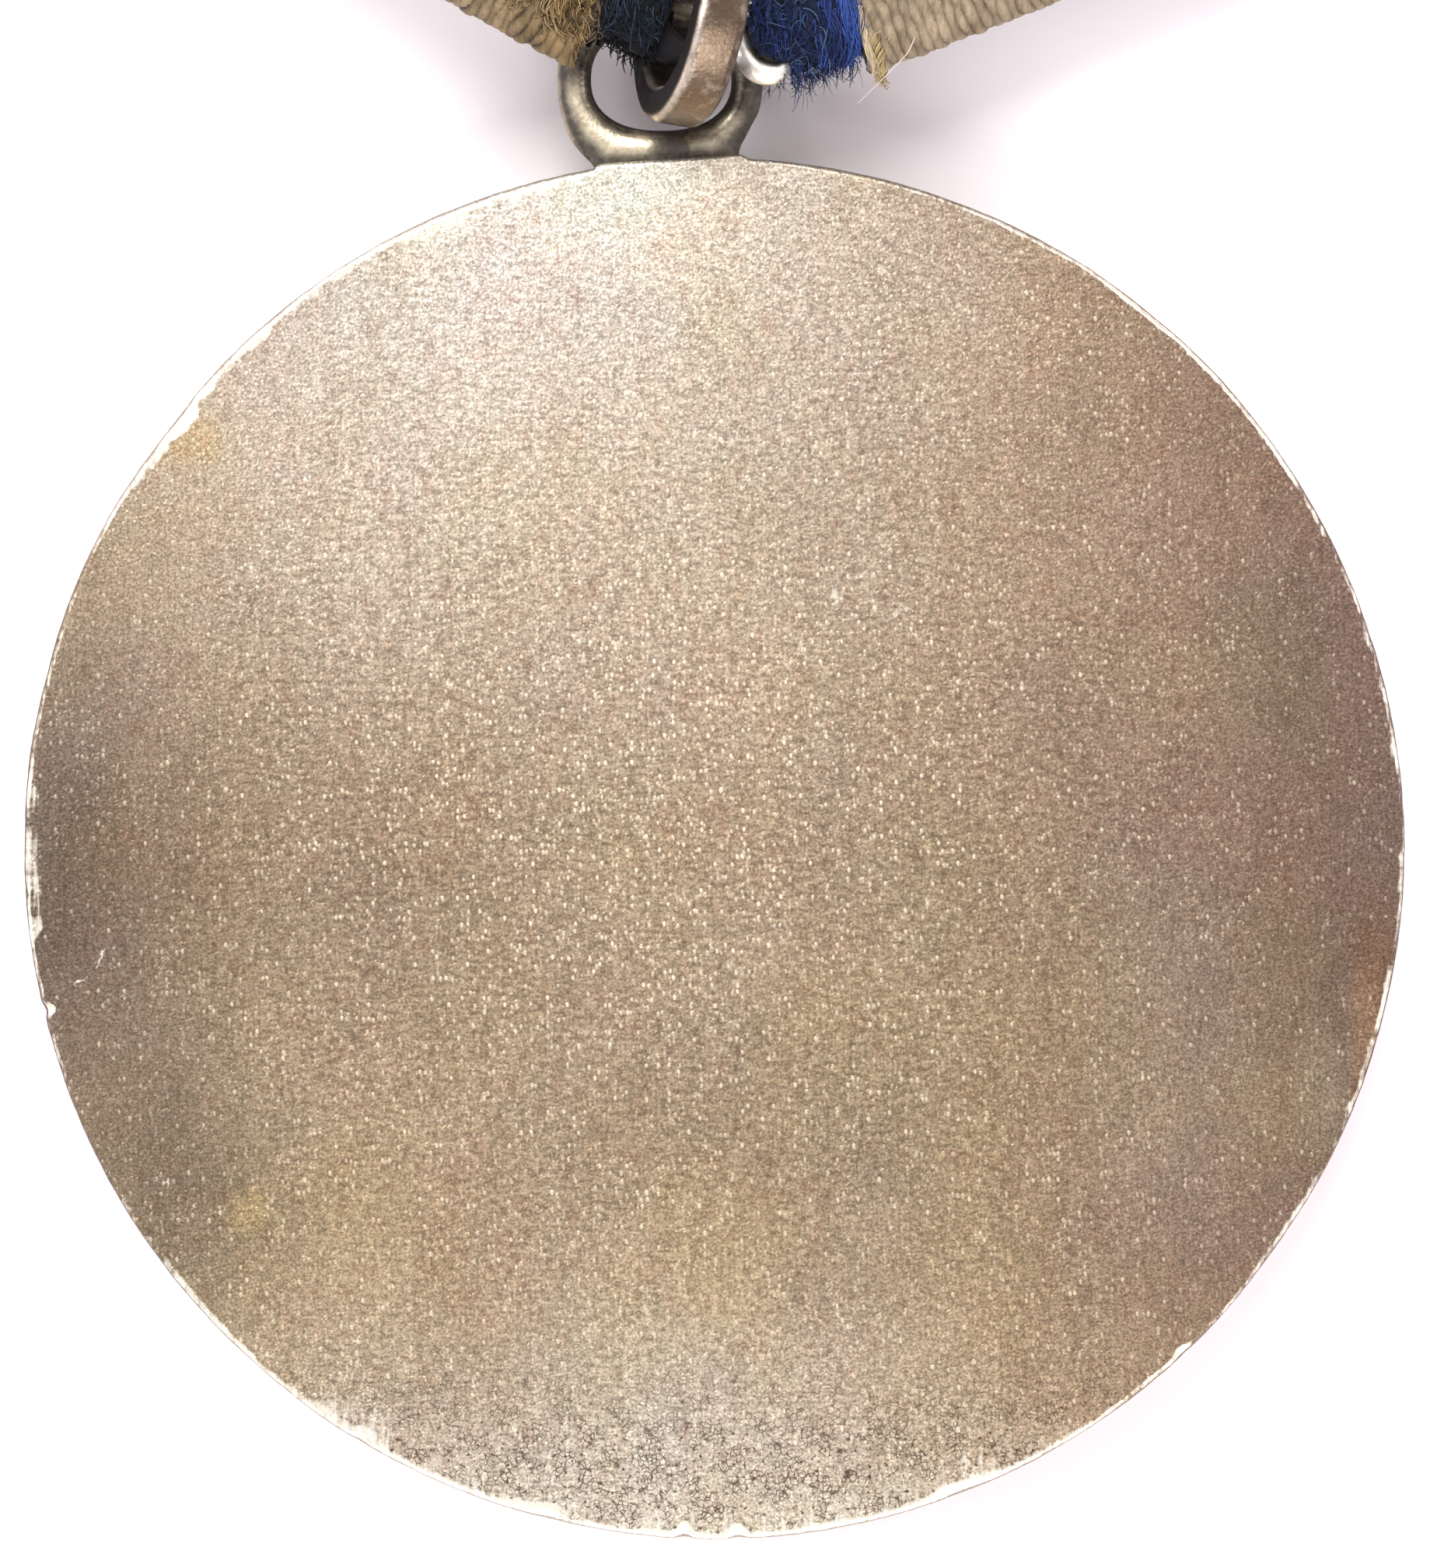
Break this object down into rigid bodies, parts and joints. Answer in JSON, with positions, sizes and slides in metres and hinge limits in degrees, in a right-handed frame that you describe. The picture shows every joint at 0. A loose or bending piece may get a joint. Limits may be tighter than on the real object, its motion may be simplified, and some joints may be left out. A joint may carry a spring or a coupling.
{
  "type": "medal",
  "caption": "Round silver medal lying face down, hung by a wire eyelet and flattened ring from a ribbon-covered pentagonal mount with a sprung pin.",
  "frame": {"origin": "centre of the disc, on the surface the medal lies on", "axes": "+Y towards the mount, +Z out of the plain reverse, +X to the right seen from the reverse"},
  "size_m": [0.0457, 0.0882, 0.0069],
  "materials": {
    "worn_silver": "matte, worn, tarnished",
    "red_enamel": "glossy",
    "old_brass": "dull, oxidised",
    "ribbon_cloth": "ribbed weave, faded",
    "thread": "matte",
    "pin_steel": "satin"
  },
  "bodies": {
    "medal": {"medal_disc": "worn_silver", "enamel_roundel": "red_enamel", "eyelet_loop": "worn_silver", "eyelet_braze": "worn_silver"},
    "ring": {"suspension_ring": "worn_silver"},
    "mount": {"mount_plate": "old_brass", "ribbon_left_wrap": "ribbon_cloth", "ribbon_right_wrap": "ribbon_cloth", "ribbon_front_band": "ribbon_cloth", "ribbon_stitches": "thread", "pin_strip": "old_brass", "strip_rivets": "old_brass", "pin_post": "old_brass", "pin_catch": "old_brass"},
    "pin": {"pin_wire": "pin_steel"}
  },
  "joints": [
    {"name": "ring_sway", "type": "hinge", "parent": "medal", "child": "ring", "pos_m": [-0.00145, 0.0203, 0.00195], "axis": [0, 0, 1], "range_deg": [-15, 15]},
    {"name": "mount_lift", "type": "hinge", "parent": "ring", "child": "mount", "pos_m": [-0.00021, 0.02098, 0.0038], "axis": [0.998, -0.0637, 0], "range_deg": [0, 100]},
    {"name": "pin_open", "type": "hinge", "parent": "mount", "child": "pin", "pos_m": [0.01431, 0.05221, 0.00344], "axis": [-0.0037, -0.0579, -0.9983], "range_deg": [0, 25]}
  ]
}
